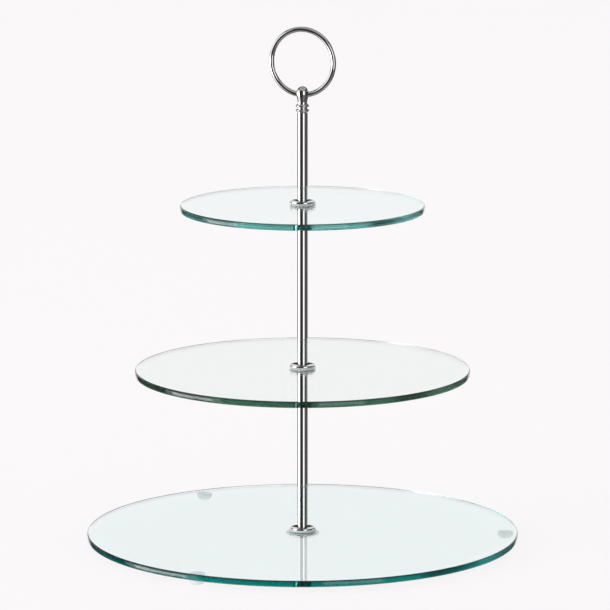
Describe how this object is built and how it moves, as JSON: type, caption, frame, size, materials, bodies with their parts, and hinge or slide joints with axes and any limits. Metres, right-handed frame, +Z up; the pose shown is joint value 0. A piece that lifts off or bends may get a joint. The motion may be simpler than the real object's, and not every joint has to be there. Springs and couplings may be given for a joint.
{
  "type": "tiered cake stand",
  "caption": "Cake stand with round glass tiers clamped on a chromed centre column, with a finial and a loose ring handle on top, standing on clear domed feet.",
  "frame": {"origin": "on the surface that the stand rests on, under the centre of the column", "axes": "+Z up along the column, +X towards the single foot, -Y towards the front"},
  "size_m": [0.35, 0.35, 0.4217],
  "materials": {
    "bottom_glass": "clear float glass with a deep teal polished rim",
    "middle_glass": "clear float glass with a dark green polished rim",
    "top_glass": "clear float glass with a pale teal polished rim",
    "chrome": "bright polished chrome plate",
    "zinc_steel": "zinc-plated steel",
    "clear_silicone": "clear soft silicone",
    "nylon": "natural nylon"
  },
  "bodies": {
    "stand": {"bottom_plate": "bottom_glass", "foot_right": "clear_silicone", "foot_back_left": "clear_silicone", "foot_front_left": "clear_silicone", "base_screw": "zinc_steel", "base_washer": "zinc_steel", "base_gasket_below": "clear_silicone", "base_bush": "nylon", "base_gasket_above": "clear_silicone", "base_flange": "chrome", "lower_rod": "chrome", "lower_rod_base_insert": "zinc_steel", "lower_rod_top_insert": "zinc_steel", "middle_flange_below": "chrome", "middle_gasket_below": "clear_silicone", "middle_stud": "zinc_steel", "middle_bush": "nylon", "middle_gasket_above": "clear_silicone", "middle_flange_above": "chrome", "upper_rod": "chrome", "upper_rod_base_insert": "zinc_steel", "upper_rod_top_insert": "zinc_steel", "top_flange_below": "chrome", "top_gasket_below": "clear_silicone", "top_stud": "zinc_steel", "top_bush": "nylon", "top_gasket_above": "clear_silicone", "top_flange_above": "chrome", "handle_rod": "chrome", "handle_rod_base_insert": "zinc_steel", "handle_rod_top_insert": "zinc_steel", "finial_stud": "zinc_steel", "finial": "chrome"},
    "middle_tier": {"middle_plate": "middle_glass"},
    "top_tier": {"top_plate": "top_glass"},
    "ring": {"handle_ring": "chrome"}
  },
  "joints": [
    {"name": "ring_swing", "type": "hinge", "parent": "stand", "child": "ring", "pos_m": [0, 0, 0.36724], "axis": [0.9397, -0.342, 0], "range_deg": [-172, 172]},
    {"name": "middle_tier_turn", "type": "hinge", "parent": "stand", "child": "middle_tier", "pos_m": [0, 0, 0.1415], "axis": [0, 0, 1], "continuous": true},
    {"name": "top_tier_turn", "type": "hinge", "parent": "stand", "child": "top_tier", "pos_m": [0, 0, 0.2755], "axis": [0, 0, 1], "continuous": true}
  ]
}
